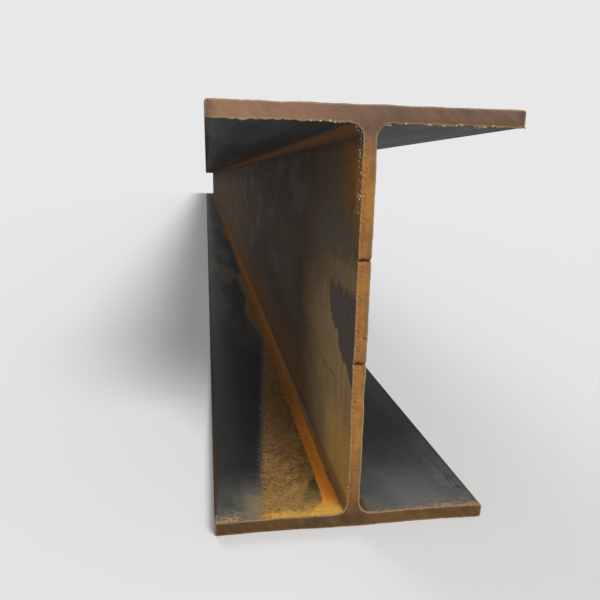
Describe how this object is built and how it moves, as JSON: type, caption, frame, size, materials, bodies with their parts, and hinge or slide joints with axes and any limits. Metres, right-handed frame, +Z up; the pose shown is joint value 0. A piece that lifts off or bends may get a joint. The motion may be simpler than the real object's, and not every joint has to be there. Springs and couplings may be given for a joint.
{
  "type": "steel h-beam",
  "caption": "Rolled wide-flange steel H-beam in a stock length, with one torch-cut end and a mill-scale and rust finish.",
  "frame": {"origin": "middle of the beam's footprint, on the outer face of the bottom flange", "axes": "+Y along the beam, away from the torch-cut end; +Z up through the beam's depth; +X across its width"},
  "size_m": [0.3, 12, 0.434],
  "materials": {
    "rusted_mill_steel": "matte"
  },
  "bodies": {
    "root": {"h_beam": "rusted_mill_steel"}
  },
  "joints": []
}
